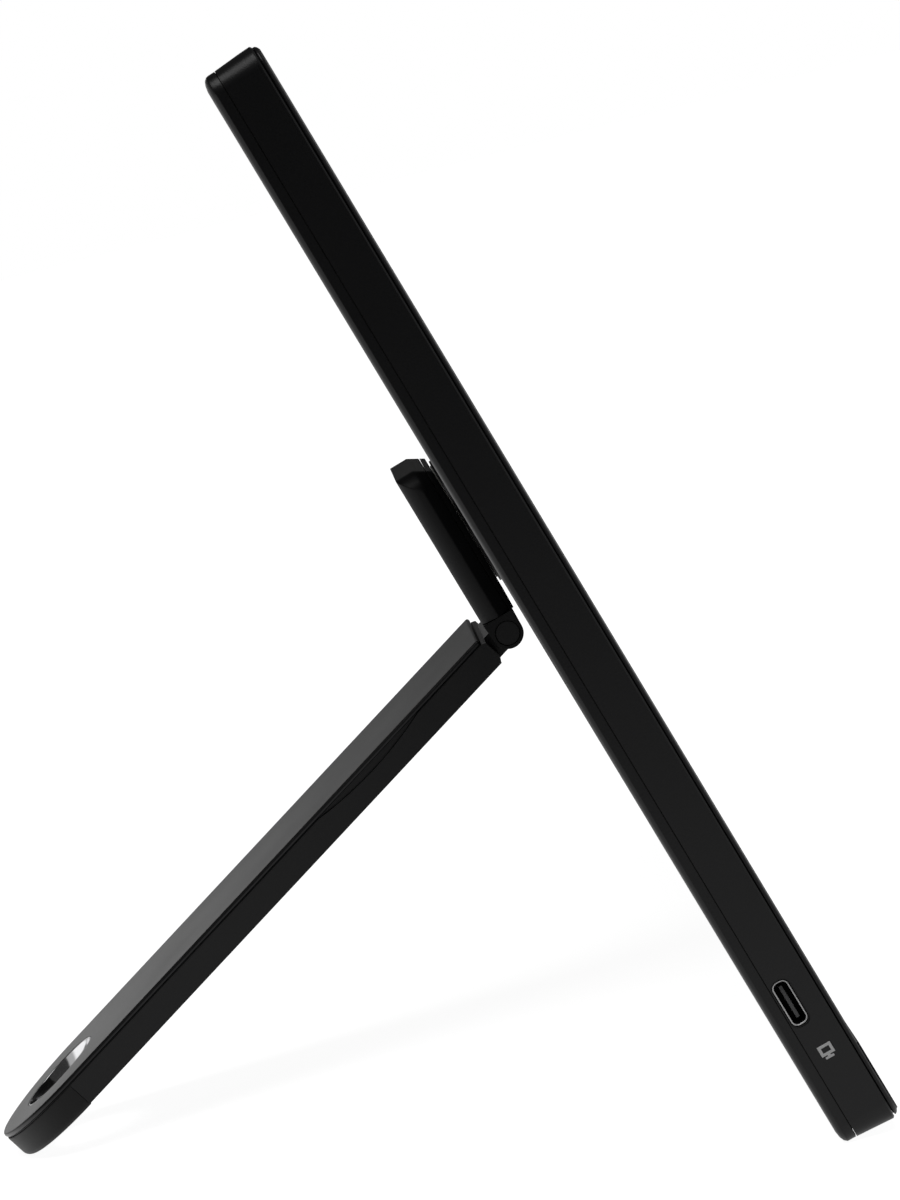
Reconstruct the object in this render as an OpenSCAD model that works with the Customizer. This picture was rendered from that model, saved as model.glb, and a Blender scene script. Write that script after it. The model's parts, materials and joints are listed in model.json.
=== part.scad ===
// Portable monitor with a swivelling, folding kickstand.
// The screen leans back on its lower rear edge and on the foot of the leg.
// X runs to the viewer's right, Y to the back, Z up; the ground is Z = 0.

/* [Screen housing] */
// Width of the housing
screen_w = 360; // [356:1:384]
// Height of the housing
screen_h = 227; // [222:1:250]
// Thickness of the housing, without the stand
screen_t = 12.1; // [12:0.1:14]
// Radius of the housing's four corners
corner_r = 4.5; // [4.2:0.1:8]
// How far the side frame draws in towards the back
frame_draft = 0.6; // [0:0.1:0.8]
// Depth of the rear cover, from its seam to the back
rear_depth = 3; // [2.8:0.1:3.4]
// Thickness of the rear cover's back wall
back_wall = 1.5; // [1.2:0.1:1.6]
// Width of the rounded margin round the back
back_margin = 2.6; // [1.8:0.1:2.8]
// Depth of the rounded margin round the back
back_drop = 1.1; // [0.8:0.1:1.3]
// Width of the open seams between housing pieces
seam = 0.14; // [0.08:0.02:0.24]
// Clearance between pieces that slip into each other
fit_gap = 0.05; // [0.03:0.01:0.08]

/* [Front and display] */
// Width of the bezel on each side of the picture
bezel_side = 7.9; // [7:0.1:10]
// Height of the bezel above the picture
bezel_top = 11; // [10:0.1:14]
// Height of the bezel below the picture
chin_h = 21.4; // [19:0.1:22]
// Thickness of the bezel's flat rim
bezel_t = 0.9; // [0.7:0.1:1.1]
// How far the bezel's edge stands in from the side frame
bezel_inset = 0.45; // [0.3:0.05:0.8]
// Height of the raised band along the chin
band_h = 16.3; // [12:0.1:18]
// How far that band stands out
band_raise = 0.2; // [0.1:0.05:0.3]
// Thickness of the display glass
glass_t = 1.2; // [1:0.1:1.3]
// Thickness of the stack of optical sheets
sheets_t = 0.4; // [0.3:0.1:0.5]
// Thickness of the light guide
guide_t = 1.3; // [1:0.1:1.4]
// Thickness of the reflector sheet
reflector_t = 0.2; // [0.1:0.1:0.3]
// Thickness of the panel tray's sheet metal
tray_t = 0.5; // [0.4:0.1:0.6]

/* [Ports and buttons] */
// Height of the connector's centre above the lower edge
port_z = 29.1; // [24:0.1:34]
// Distance of the connector's centre from the back
port_from_back = 5.05; // [4.8:0.05:5.2]
// Long outside measure of the connector's metal shell
port_w = 9.1; // [8.6:0.01:9.2]
// Short outside measure of the connector's metal shell
port_h = 3.3; // [3:0.01:3.4]
// Corner radius of the connector's metal shell
port_round = 1.3; // [1.1:0.05:1.45]
// Length of the connector's metal shell
port_len = 7.3; // [6.5:0.1:8]
// Distance between the centres of the connectors on the right side
port_pitch = 16; // [15:0.5:18]
// Length of a button
button_len = 10; // [8:0.5:12]
// Width of a button
button_w = 3.2; // [2.6:0.1:3.4]
// How far a button stands out of the side
button_proud = 0.6; // [0.55:0.05:0.9]
// Travel of a button
button_travel = 0.4; // [0.2:0.05:0.5]
// Distance between the buttons' centres
button_pitch = 15; // [14:0.5:18]

/* [Swivel] */
// Height of the swivel's centre above the middle of the housing
swivel_rise = 2.6; // [0:0.1:5]
// Radius of the round seat on the back
seat_r = 15; // [13.5:0.1:17]
// Height of that seat
seat_h = 1; // [0.8:0.1:1.3]
// Thickness of the glide washer on the seat
glide_t = 0.3; // [0.2:0.05:0.4]
// Radius of the swivel shaft
shaft_r = 5; // [4:0.1:5.6]
// Radius of the shaft's flange inside the plate
flange_r = 11; // [10:0.1:12]
// Thickness of the flange
flange_t = 1.2; // [0.8:0.1:1.6]
// Thickness of the steel plate behind the rear wall
brace_t = 1; // [0.8:0.1:1.2]

/* [Stand plate] */
// Width of the stand, plate and leg alike
stand_w = 42; // [38:0.5:46]
// Thickness of the stand plate
plate_t = 7.7; // [7.5:0.1:8.4]
// Reach of the plate above the swivel's centre
plate_up = 16.6; // [16:0.1:26]
// Corner radius of the plate's upper end
plate_corner = 5; // [4.8:0.1:10]
// Radius of the cover's two rounded sides
plate_soft = 4.2; // [3:0.1:4.3]
// How far the plate draws in towards the back
plate_under = 2; // [1:0.1:2.4]
// Depth of the plate's outer cover
plate_cover_depth = 6.6; // [6.3:0.1:6.8]
// Thickness of the stand's moulded walls
stand_wall = 1.5; // [1.2:0.1:1.7]

/* [Hinge] */
// Distance of the hinge axis below the swivel's centre
hinge_drop = 23.1; // [21.5:0.1:26]
// Distance of the hinge axis from the back of the housing
hinge_out = 5.3; // [5:0.05:5.5]
// Radius of the hinge knuckles
knuckle_r = 3.4; // [3:0.1:3.5]
// Radius of the hinge pin
pin_r = 1.6; // [1.2:0.1:1.8]
// Radius of the round caps over the pin's ends
cap_r = 2.65; // [2.3:0.05:2.7]
// Width of each of the plate's two ears
ear_w = 8; // [6:0.5:10]
// Running clearance between moving faces
run_gap = 0.25; // [0.15:0.05:0.4]
// Angle from the screen's back to the leg as it stands
leg_open = 74; // [60:1:84]

/* [Leg] */
// Length of the leg, from the hinge axis to its tip
leg_len = 155.6; // [140:0.1:158]
// Thickness of the leg
leg_t = 7.2; // [6.9:0.1:7.6]
// Distance of the leg's body from the hinge axis
leg_start = 5.5; // [5.3:0.1:6.5]
// Thickness of the leg's outer cover
leg_cover_t = 1.2; // [1:0.1:1.4]
// Height of the shadow groove below the cover
leg_groove = 0.16; // [0.12:0.02:0.3]
// Distance of the hanging hole's centre from the leg's tip
hole_in_tip = 18.2; // [17:0.1:30]
// Radius of the hanging hole at the leg's outer face
hole_r = 9.64; // [8:0.01:10.5]
// Radius of the hanging hole's straight part
hole_throat_r = 9.2; // [8.4:0.05:9.4]
// Depth of the flared part of the hole
hole_flare = 3; // [2:0.1:4]
// Length of the finger scoop on each side
scoop_len = 31; // [20:1:40]
// Distance of the finger scoop's middle from the hinge axis
scoop_at = 41; // [30:1:60]
// Height of the finger scoop
scoop_h = 1.4; // [0.8:0.1:2]
// How far the rubber foot stands below the leg
foot_proud = 0.4; // [0.2:0.1:0.7]
// Thickness of the foot's side skin
foot_skin = 1.6; // [1.2:0.1:2]
// Radius of the foot's rounded lower rim
foot_soft = 1.8; // [1:0.1:2.6]

/* [Hidden] */
$fn = 48;

// Depths through the housing, counted from the raised band at the front
bezel_front = band_raise;
bezel_back = bezel_front + bezel_t;
glass_back = bezel_back + glass_t;
sheets_back = glass_back + sheets_t;
guide_back = sheets_back + guide_t;
tray_front = guide_back + reflector_t;
tray_back = tray_front + tray_t;
frame_front = bezel_back + 0.25;
frame_back = screen_t - rear_depth;
rear_seam = frame_back + seam;
wall_front = screen_t - back_wall;
port_y = screen_t - port_from_back;
board_t = 1;
board_front = port_y + port_h / 2;
board_back = board_front + board_t;

// The picture fills what the bezel leaves of the front
picture_w = screen_w - 2 * bezel_side;
picture_h = screen_h - chin_h - bezel_top;

// Walls of the side frame, counted inwards from the outline
frame_wall = 2.2;
rib_in = frame_wall + fit_gap;
rib_out = rib_in + 0.8;
inner_wall = rib_out;
frame_chamfer = 0.3;
seam_depth = 0.35;
bezel_soft = 0.85;

// Display stack
glass_side = 3.2;
glass_foot = 8.2;
glass_head = 3;
glass_w = picture_w + 2 * glass_side;
glass_z = chin_h - glass_foot;
glass_h = picture_h + glass_foot + glass_head;
stack_w = picture_w + 2.4;
stack_z = chin_h - 2;
stack_h = picture_h + 3.4;
tray_w = stack_w + 2 * tray_t + 0.4;
tray_z = stack_z - 3.4;
tray_h = stack_h + 3.8 + tray_t;
led_h = 1.2;
led_count = 36;
flange_low = 4.2;

// Screws
screw_r = 0.95;
screw_head_r = 1.8;
screw_head_h = 0.8;
boss_r = 2.3;
tray_ear_h = 5.2;
tray_ear_w = 9;
tray_ear_z = tray_z + tray_h + tray_ear_h / 2 - 0.2;
tray_low_z = flange_low + 3.6;
tray_head_x = [-0.42 * screen_w, 0, 0.42 * screen_w];
tray_low_x = [-0.21 * screen_w, 0.21 * screen_w];

// Boards
board_edge = screen_w / 2 - inner_wall - button_travel - 0.3;
main_len = 150;
side_len = 48;
board_below = 11;
board_above = 36;
board_low = port_z - board_below;
board_high = port_z + board_above;
board_screw_in = 5;
link_part_w = 8;
link_part_h = 14;
link_part_in = 12;
connector_in = 18;
connector_x = -board_edge + main_len - connector_in;
connector_w = 16;
connector_h = 6;
panel_board_w = 100;
panel_board_h = 7.6;
panel_left = connector_x - connector_w / 2 - 3;
panel_mid = panel_left + panel_board_w / 2;
flex_count = 5;
flex_pitch = panel_board_w / 5.2;
flex_w = 12;
scaler_in = 50;
scaler_up = 12;
scaler_w = 16;
power_chip_in = 30;
power_chip_up = 24;
power_chip_w = 9;
coil_in = 78;
coil_up = 26;
coil_pitch = 8;
coil_w = 4;
side_chip_in = 14;
side_chip_up = 18;
side_chip_w = 7;
button_rise = 20;
button_z = board_high + button_rise;
button_board_w = 9;
button_board_h = 2 * button_pitch + button_len;
switch_w = 6;

// Connectors on the right side, all in the line of the first
video_z = port_z + port_pitch;
video_w = 11.2;
video_h = port_h;
port_skin = 0.3;
mouth_in = 0.75;
port_recess = 0.25;
tongue_t = 0.7;

// Speakers and the slots in front of them
vent_x = 0.3 * screen_w;
vent_count = 7;
vent_pitch = 4.5;
vent_w = 1.6;
vent_h = 6;
speaker_w = 34;
speaker_h = 9.4;
speaker_gap = 0.8;

// Swivel
swivel_z = screen_h / 2 + swivel_rise;
plate_gap = seat_h + glide_t + 0.1;
plate_out = plate_gap + plate_t;
plate_part = plate_out - plate_cover_depth;
plate_wide = plate_out - plate_soft;
plate_core = plate_corner - 0.4;
plate_bottom = -(hinge_drop - knuckle_r - 0.5);
floor_top = plate_gap + stand_wall;
brace_front = wall_front - brace_t;
washer_t = 0.6;
nut_t = 1.7;
nut_r = 8;
brace_w = 44;
spoke_t = 1.2;
spoke_len = 26;
brace_screw_r = 15.5;
flange_screw_r = 8.2;

// Leg, measured from the hinge axis with the leg folded down
leg_out = plate_out - hinge_out;
leg_in = leg_t - leg_out;
leg_r = stand_w / 2;
leg_end = leg_len - leg_r;
hole_at = leg_len - hole_in_tip;
cover_in = leg_out - leg_cover_t;
shell_top = cover_in - leg_groove;
leg_floor = -leg_in + stand_wall;
liner_r = hole_r + 0.3;
collar_t = 1.8;
groove_depth = 0.5;
lip_w = 1;
web_out = 2;
neck_start = leg_start - 0.8;
neck_out = 2;
neck_in = 2.2;
core_t = 1.2;
core_w = 26;
core_start = leg_start + 8.5;
core_end = hole_at - liner_r - collar_t - 7.4;
core_screw_in = 9;
core_screw_x = core_w / 2 - 5;
core_hole_r = 5;
core_hole_count = 4;
foot_floor = 1.1;
knuckle_w = stand_w - 2 * ear_w - 2 * run_gap;
sleeve_r = pin_r + 0.85;
cap_t = 1.1;
cap_sunk = 0.3;

// The ground touches the rear cover's lower rear corner and the foot's rounded rim.
// Both are worked out in the housing's own frame (Y depth, Z up) to find the recline.
ground_corner = [screen_t - back_drop, frame_draft + 0.1];
foot_dir = [sin(leg_open), -cos(leg_open)];
foot_nrm = [cos(leg_open), sin(leg_open)];
hinge_at = [screen_t + hinge_out, swivel_z - hinge_drop];
rim_at = hinge_at + (leg_len - foot_soft) * foot_dir
  - (leg_in + foot_proud - foot_soft) * foot_nrm;
rim_way = rim_at - ground_corner;
recline = atan2(rim_way[1], rim_way[0]) - asin(foot_soft / norm(rim_way));
function grounded(p) = [
  p[0] * cos(recline) + p[1] * sin(recline),
  p[1] * cos(recline) - p[0] * sin(recline)
];
tip_at = hinge_at + leg_len * foot_dir + leg_out * foot_nrm;
low_z = grounded(ground_corner)[1];
front_y = grounded([0, bezel_inset + bezel_soft])[0];
back_y = grounded(tip_at)[0];
mid_y = (front_y + back_y) / 2;

// Frames -----------------------------------------------------------------

// The housing's frame: X right, Y depth from the front, Z up from the lower edge
module in_screen() {
  translate([0, -mid_y, -low_z]) rotate([-recline, 0, 0]) children();
}

// The stand's frame: origin on the back at the swivel's centre, Y outwards
module in_stand() {
  in_screen() translate([0, screen_t, swivel_z]) children();
}

// The leg's frame: origin on the hinge axis, the leg along -Z, its outer face to +Y
module in_leg() {
  in_stand() translate([0, hinge_out, -hinge_drop]) rotate([leg_open, 0, 0]) children();
}

// Shapes -----------------------------------------------------------------

// Extrudes an outline drawn in X and Z from depth y0 to depth y1
module across(y0, y1) {
  translate([0, y1, 0]) rotate([90, 0, 0]) linear_extrude(y1 - y0) children();
}

// Extrudes a side profile drawn in Y and Z from x0 to x1
module along_x(x0, x1) {
  translate([x0, 0, 0]) rotate([90, 0, 90]) linear_extrude(x1 - x0) children();
}

// A cylinder along Y from y0 to y1
module post(y0, y1, r) {
  translate([0, y0, 0]) rotate([-90, 0, 0]) cylinder(h = y1 - y0, r = r);
}

// A cylinder along X from x0 to x1
module bar(x0, x1, r) {
  translate([x0, 0, 0]) rotate([0, 90, 0]) cylinder(h = x1 - x0, r = r);
}

// Left and right copies
module both_sides() {
  children();
  mirror([1, 0, 0]) children();
}

// A rounded rectangle standing on the X axis, moved in by d all round
module outline(w, h, r, d = 0) {
  cw = w - 2 * d;
  ch = h - 2 * d;
  cr = r - d;
  translate([-cw / 2 + cr, d]) square([cw - 2 * cr, ch]);
  translate([-cw / 2, d + cr]) square([cw, ch - 2 * cr]);
  for (x = [-1, 1], z = [d + cr, d + ch - cr]) translate([x * (cw / 2 - cr), z]) circle(cr);
}

// Sweeps a profile round a rounded rectangle; X of the profile runs inwards, Y is depth
module rim(w, h, r) {
  for (up = [0, 1]) translate([0, 0, up * h]) mirror([0, 0, up]) {
    translate([w / 2 - r, 0, 0]) rotate([0, -90, 0]) linear_extrude(w - 2 * r) children();
    both_sides() translate([w / 2 - r, 0, r]) rotate([-90, 0, 0])
      rotate_extrude(angle = 90) translate([r, 0]) mirror([1, 0]) children();
  }
  both_sides() translate([-w / 2, 0, r]) linear_extrude(h - 2 * r) children();
}

// A slot with round ends, long way up, centred on the origin
module slot(w, h) {
  square([h, w - h], center = true);
  for (z = [-1, 1]) translate([0, z * (w - h) / 2]) circle(h / 2);
}

// A flat-headed screw along Y: the head lies between y0 and y0 + head, the shank goes on
module screw(y0, length, head_r = screw_head_r, shank_r = screw_r - 0.03) {
  post(y0, y0 + screw_head_h, head_r);
  post(y0 + screw_head_h, y0 + screw_head_h + length, shank_r);
}

// Places of the screws that hold the panel tray
module at_tray_screws() {
  for (x = tray_head_x) translate([x, 0, tray_ear_z]) children();
  for (x = tray_low_x) translate([x, 0, tray_low_z]) children();
}

// Places of the screws that hold the two port boards
module at_board_screws() {
  for (z = [board_low + board_screw_in, board_high - board_screw_in]) {
    translate([-board_edge + port_len + board_screw_in, 0, z]) children();
    translate([-board_edge + main_len - board_screw_in, 0, z]) children();
    translate([board_edge - port_len - board_screw_in, 0, z]) children();
    translate([board_edge - side_len + board_screw_in, 0, z]) children();
  }
}

// Places of the four screws round the swivel, at radius r
module round_swivel(r) {
  for (a = [45, 135, 225, 315]) translate([r * cos(a), 0, r * sin(a)]) children();
}

// Front and display ------------------------------------------------------

module front_bezel() color([0.07, 0.07, 0.075]) in_screen() {
  flat_in = bezel_inset + bezel_soft;
  across(bezel_front, bezel_back) difference() {
    outline(screen_w, screen_h, corner_r, flat_in);
    translate([-picture_w / 2, chin_h]) square([picture_w, picture_h]);
  }
  across(0, bezel_front) intersection() {
    outline(screen_w, screen_h, corner_r, flat_in);
    translate([-screen_w / 2, 0]) square([screen_w, band_h]);
  }
  rim(screen_w, screen_h, corner_r) {
    polygon([
      [flat_in, bezel_front], [bezel_inset + 0.3, bezel_front + 0.3],
      [bezel_inset, bezel_front + 0.65], [bezel_inset, bezel_back], [flat_in, bezel_back]
    ]);
    translate([bezel_inset + seam_depth, bezel_back])
      square([rib_out - bezel_inset - seam_depth, frame_front - bezel_back - fit_gap]);
    translate([rib_in, bezel_back]) square([rib_out - rib_in, 1.6]);
  }
}

module display_glass() color([0.02, 0.02, 0.025]) in_screen() {
  across(bezel_back, glass_back)
    translate([-glass_w / 2, glass_z]) square([glass_w, glass_h]);
}

module optical_sheets() color([0.92, 0.93, 0.95]) in_screen() {
  across(glass_back, sheets_back)
    translate([-stack_w / 2, stack_z]) square([stack_w, stack_h]);
}

module light_guide() color([0.85, 0.9, 0.95]) in_screen() {
  across(sheets_back, guide_back)
    translate([-stack_w / 2, stack_z]) square([stack_w, stack_h]);
}

module reflector_sheet() color([0.97, 0.97, 0.97]) in_screen() {
  across(guide_back, tray_front)
    translate([-stack_w / 2, stack_z]) square([stack_w, stack_h]);
}

module led_strip() color([0.95, 0.9, 0.6]) in_screen() {
  led_pitch = stack_w / led_count;
  across(glass_back, tray_front)
    translate([-stack_w / 2, tray_z + tray_t]) square([stack_w, 0.6]);
  across(sheets_back, guide_back)
    for (i = [0 : led_count - 1])
      translate([-stack_w / 2 + (i + 0.2) * led_pitch, tray_z + tray_t + 0.6])
        square([0.6 * led_pitch, led_h]);
}

module panel_tray() color([0.7, 0.71, 0.73]) in_screen() difference() {
  union() {
    across(tray_front, tray_back) {
      translate([-tray_w / 2, tray_z]) square([tray_w, tray_h]);
      translate([-0.45 * screen_w, flange_low])
        square([0.9 * screen_w, tray_z - flange_low + 1]);
      for (x = tray_head_x)
        translate([x - tray_ear_w / 2, tray_z + tray_h - 1])
          square([tray_ear_w, tray_ear_h + 0.6]);
    }
    across(glass_back, tray_front) difference() {
      translate([-tray_w / 2, tray_z]) square([tray_w, tray_h]);
      translate([-tray_w / 2 + tray_t, tray_z + tray_t])
        square([tray_w - 2 * tray_t, tray_h - 2 * tray_t]);
    }
  }
  at_tray_screws() post(tray_front - 1, tray_back + 1, screw_r + 0.2);
  across(tray_front - 1, tray_back + 1)
    translate([connector_x - connector_w / 2 - 1.3, flange_low + 0.7])
      square([connector_w + 2.6, connector_h + 0.2]);
}

module tray_screws() color([0.6, 0.6, 0.62]) in_screen() {
  at_tray_screws() screw(tray_front - screw_head_h, tray_t + 3);
}

module panel_board() color([0.05, 0.3, 0.15]) in_screen() {
  across(tray_front - 0.8, tray_front)
    translate([panel_left, flange_low + 0.2]) square([panel_board_w, panel_board_h]);
  across(tray_front, tray_back + 0.9)
    translate([connector_x - connector_w / 2 - 1, flange_low + 1])
      square([connector_w + 2, connector_h - 0.4]);
}

module panel_flexes() color([0.75, 0.5, 0.2]) in_screen() {
  flex = 0.12;
  board_face = tray_front - 0.8;
  for (i = [0 : flex_count - 1])
    translate([panel_mid + (i - (flex_count - 1) / 2) * flex_pitch, 0, 0])
      along_x(-flex_w / 2, flex_w / 2) polygon([
        [glass_back, tray_z - 0.2], [glass_back + flex, tray_z - 0.2],
        [glass_back + flex, glass_z - 0.9], [board_face, glass_z - 1.9],
        [board_face, glass_z - 4.6], [board_face - flex, glass_z - 4.6],
        [board_face - flex, glass_z - 2], [glass_back, glass_z - 1]
      ]);
}

module panel_cable() color([0.85, 0.83, 0.78]) in_screen() {
  ply = 0.16;
  plug_back = tray_back + 0.9;
  socket = board_front - 1;
  along_x(connector_x - connector_w / 2 + 1, connector_x + connector_w / 2 - 1) polygon([
    [plug_back, flange_low + 2], [plug_back, flange_low + 6], [socket - ply, board_low + 2],
    [socket - ply, board_low + 6], [socket, board_low + 6], [socket, board_low + 2],
    [plug_back + ply, flange_low + 6], [plug_back + ply, flange_low + 2]
  ]);
}

// Housing ----------------------------------------------------------------

module side_frame() color([0.06, 0.06, 0.065]) in_screen() difference() {
  rim(screen_w, screen_h, corner_r) polygon([
    [frame_chamfer, frame_front], [0, frame_front + frame_chamfer],
    [frame_draft, frame_back], [frame_wall, frame_back], [frame_wall, frame_front]
  ]);
  both_sides() translate([0, port_y, port_z]) {
    along_x(-screen_w / 2 - 1, -screen_w / 2 + frame_wall + 1)
      port_outline(0.15);
    along_x(-screen_w / 2 - 1, -screen_w / 2 + frame_draft * 0.75 + port_recess)
      port_outline(0.38);
  }
  translate([0, port_y, video_z]) along_x(screen_w / 2 - frame_wall - 1, screen_w / 2 + 1)
    square([video_h + 0.3, video_w + 0.3], center = true);
  for (i = [-1 : 1]) translate([0, port_y, button_z + i * button_pitch])
    along_x(screen_w / 2 - frame_wall - 1, screen_w / 2 + 1)
      slot(button_len + 2 * run_gap, button_w + 2 * run_gap);
}

module rear_cover() color([0.06, 0.06, 0.065]) in_screen() difference() {
  union() {
    rim(screen_w, screen_h, corner_r) polygon([
      [frame_draft + 0.05, rear_seam], [frame_draft + 0.1, screen_t - back_drop],
      [frame_draft + 0.22 * back_margin, screen_t - 0.5 * back_drop],
      [frame_draft + 0.52 * back_margin, screen_t - 0.18 * back_drop],
      [frame_draft + back_margin, screen_t], [frame_draft + back_margin, wall_front],
      [rib_out, wall_front], [rib_out, frame_back - 1.1], [rib_in, frame_back - 1.1],
      [rib_in, frame_back + fit_gap], [frame_draft + seam_depth, frame_back + fit_gap],
      [frame_draft + seam_depth, rear_seam]
    ]);
    across(wall_front, screen_t)
      outline(screen_w, screen_h, corner_r, frame_draft + back_margin);
    translate([0, 0, swivel_z]) {
      post(screen_t, screen_t + seat_h, seat_r);
      for (a = [0 : 45 : 315]) rotate([0, a, 0])
        translate([0.7 * brace_w, wall_front - spoke_t, -spoke_t / 2])
          cube([spoke_len, spoke_t, spoke_t]);
    }
    at_tray_screws() post(tray_back, wall_front, boss_r);
    at_board_screws() post(board_back, wall_front, boss_r);
    for (z = [-1, 1]) translate([board_edge - button_board_w / 2, 0, button_z + z * button_pitch])
      post(board_back, wall_front, boss_r);
  }
  at_tray_screws() post(tray_back - 1, tray_back + 3.4, screw_r);
  at_board_screws() post(board_back - 1, wall_front + 0.7, screw_r);
  translate([0, 0, swivel_z]) {
    post(wall_front - 1, screen_t + seat_h + 1, shaft_r + fit_gap);
    round_swivel(brace_screw_r) post(wall_front - 1, wall_front + 1.1, screw_r);
  }
  both_sides() for (i = [0 : vent_count - 1])
    translate([vent_x + i * vent_pitch, wall_front - 1, flange_low + 2])
      cube([vent_w, back_wall + 2, vent_h]);
  // Notches in the locating rib, clear of the connectors and the buttons
  both_sides() rib_notch(port_z - port_w, video_z + video_w, board_front + 0.1);
  rib_notch(button_z - button_pitch - button_len, button_z + button_pitch + button_len,
    port_y + button_w / 2 + 0.8);
}

// A cut through the rear cover's locating rib from z0 to z1, down to depth y1
module rib_notch(z0, z1, y1) {
  translate([screen_w / 2 - rib_out - 0.5, frame_back - 3, z0])
    cube([rib_out - rib_in + 0.5, y1 - frame_back + 3, z1 - z0]);
}

module board_part(x, z, w, h, t) {
  across(board_front - t, board_front) translate([x, z]) square([w, h]);
}

module main_board() color([0.05, 0.3, 0.15]) in_screen() difference() {
  union() {
    across(board_front, board_back)
      translate([-board_edge, board_low]) square([main_len, board_high - board_low]);
    board_part(connector_x - connector_w / 2, board_low + 1, connector_w, connector_h, 1);
    board_part(-board_edge + scaler_in, board_low + scaler_up, scaler_w, scaler_w, 1.2);
    board_part(-board_edge + power_chip_in, board_low + power_chip_up,
      power_chip_w, power_chip_w, 1);
    for (i = [0 : 5])
      board_part(-board_edge + coil_in + i * coil_pitch, board_low + coil_up,
        coil_w, coil_w, 1.6);
    board_part(-board_edge + main_len - link_part_in, port_z + 1, link_part_w, link_part_h, 1);
  }
  at_board_screws() post(board_front - 1, board_back + 1, screw_r + 0.2);
}

module side_board() color([0.05, 0.3, 0.15]) in_screen() difference() {
  union() {
    across(board_front, board_back)
      translate([board_edge - side_len, board_low]) square([side_len, board_high - board_low]);
    board_part(board_edge - side_len + 2, port_z + 1, link_part_w, link_part_h, 1);
    board_part(board_edge - side_len + side_chip_in, board_low + side_chip_up,
      side_chip_w, side_chip_w, 1);
  }
  at_board_screws() post(board_front - 1, board_back + 1, screw_r + 0.2);
}

module board_link() color([0.85, 0.83, 0.78]) in_screen() {
  across(board_front - 1.16, board_front - 1)
    translate([-board_edge + main_len - link_part_in + 1, port_z + 2])
      square([2 * board_edge - main_len - side_len + link_part_in + link_part_w, link_part_h - 2]);
}

module button_board() color([0.05, 0.3, 0.15]) in_screen() {
  across(board_front, board_back)
    translate([board_edge - button_board_w, button_z - button_board_h / 2])
      square([button_board_w, button_board_h]);
  for (i = [-1 : 1])
    across(port_y - 1.5, board_front)
      translate([board_edge - button_board_w + 1, button_z + i * button_pitch - switch_w / 2])
        square([button_board_w - 1, switch_w]);
}

module button_cable() color([0.85, 0.83, 0.78]) in_screen() {
  across(board_front - 0.16, board_front)
    translate([board_edge - button_board_w + 1.5, board_high - 5])
      square([5, button_z - button_board_h / 2 - board_high + 6.5]);
}

module board_screws() color([0.6, 0.6, 0.62]) in_screen() {
  at_board_screws() screw(board_front - screw_head_h, board_t + 0.9 + 0.6);
}

// Connectors and buttons -------------------------------------------------

// The connector's outline grown by d, with its corners rounded
module port_outline(d = 0) {
  w = port_w + 2 * d;
  h = port_h + 2 * d;
  r = port_round + d;
  square([h, w - 2 * r], center = true);
  square([h - 2 * r, w], center = true);
  for (y = [-1, 1], z = [-1, 1]) translate([y * (h / 2 - r), z * (w / 2 - r)]) circle(r);
}

module port_shells() color([0.8, 0.8, 0.8]) in_screen() both_sides()
  translate([0, port_y, port_z]) difference() {
    along_x(-screen_w / 2 + mouth_in, -screen_w / 2 + mouth_in + port_len)
      port_outline();
    along_x(-screen_w / 2 + mouth_in - 1, -screen_w / 2 + mouth_in + port_len - 0.6)
      port_outline(-port_skin);
  }

module port_tongues() color([0.03, 0.03, 0.03]) in_screen() both_sides()
  translate([0, port_y, port_z]) {
    root_x = -screen_w / 2 + mouth_in + port_len - 0.6;
    along_x(root_x - 2, root_x)
      port_outline(-port_skin - 0.02);
    along_x(root_x - 5.4, root_x - 2) square([tongue_t, port_w - 2.4], center = true);
  }

module video_port() color([0.75, 0.75, 0.75]) in_screen()
  translate([0, port_y, video_z]) {
    mouth_x = screen_w / 2 - mouth_in;
    difference() {
      along_x(mouth_x - port_len, mouth_x) square([video_h, video_w], center = true);
      along_x(mouth_x - port_len + 0.6, mouth_x + 1)
        square([video_h - 2 * port_skin, video_w - 2 * port_skin], center = true);
    }
    along_x(mouth_x - port_len + 0.6, mouth_x - 1.6)
      square([tongue_t, video_w - 3.2], center = true);
  }

module speakers() color([0.1, 0.1, 0.1]) in_screen() both_sides()
  translate([vent_x - 2, tray_back + speaker_gap, flange_low - 0.2])
    cube([speaker_w, wall_front - tray_back - speaker_gap, speaker_h]);

module side_button(i) color([0.1, 0.1, 0.105]) in_screen()
  translate([0, port_y, button_z + i * button_pitch]) {
    inner_x = screen_w / 2 - frame_wall;
    along_x(inner_x - 0.1, screen_w / 2 - frame_draft + button_proud)
      slot(button_len, button_w);
    along_x(inner_x - 0.9, inner_x - 0.1) square([button_w + 1.2, button_len + 2], center = true);
  }

module power_button() side_button(-1);
module down_button() side_button(0);
module up_button() side_button(1);

// Swivel -----------------------------------------------------------------

module swivel_brace() color([0.65, 0.66, 0.68]) in_screen() translate([0, 0, swivel_z])
  difference() {
    across(brace_front, wall_front)
      translate([0, -brace_w / 2]) outline(brace_w, brace_w, 6);
    post(brace_front - 1, wall_front + 1, shaft_r + 0.4);
    round_swivel(brace_screw_r) post(brace_front - 1, wall_front + 1, screw_r + 0.2);
  }

module brace_screws() color([0.6, 0.6, 0.62]) in_screen() translate([0, 0, swivel_z])
  round_swivel(brace_screw_r) screw(brace_front - screw_head_h, brace_t + 1);

module glide_washer() color([0.88, 0.88, 0.85]) in_stand() difference() {
  post(seat_h, seat_h + glide_t, seat_r - 1);
  post(seat_h - 1, seat_h + glide_t + 1, shaft_r + 0.3);
}

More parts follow.
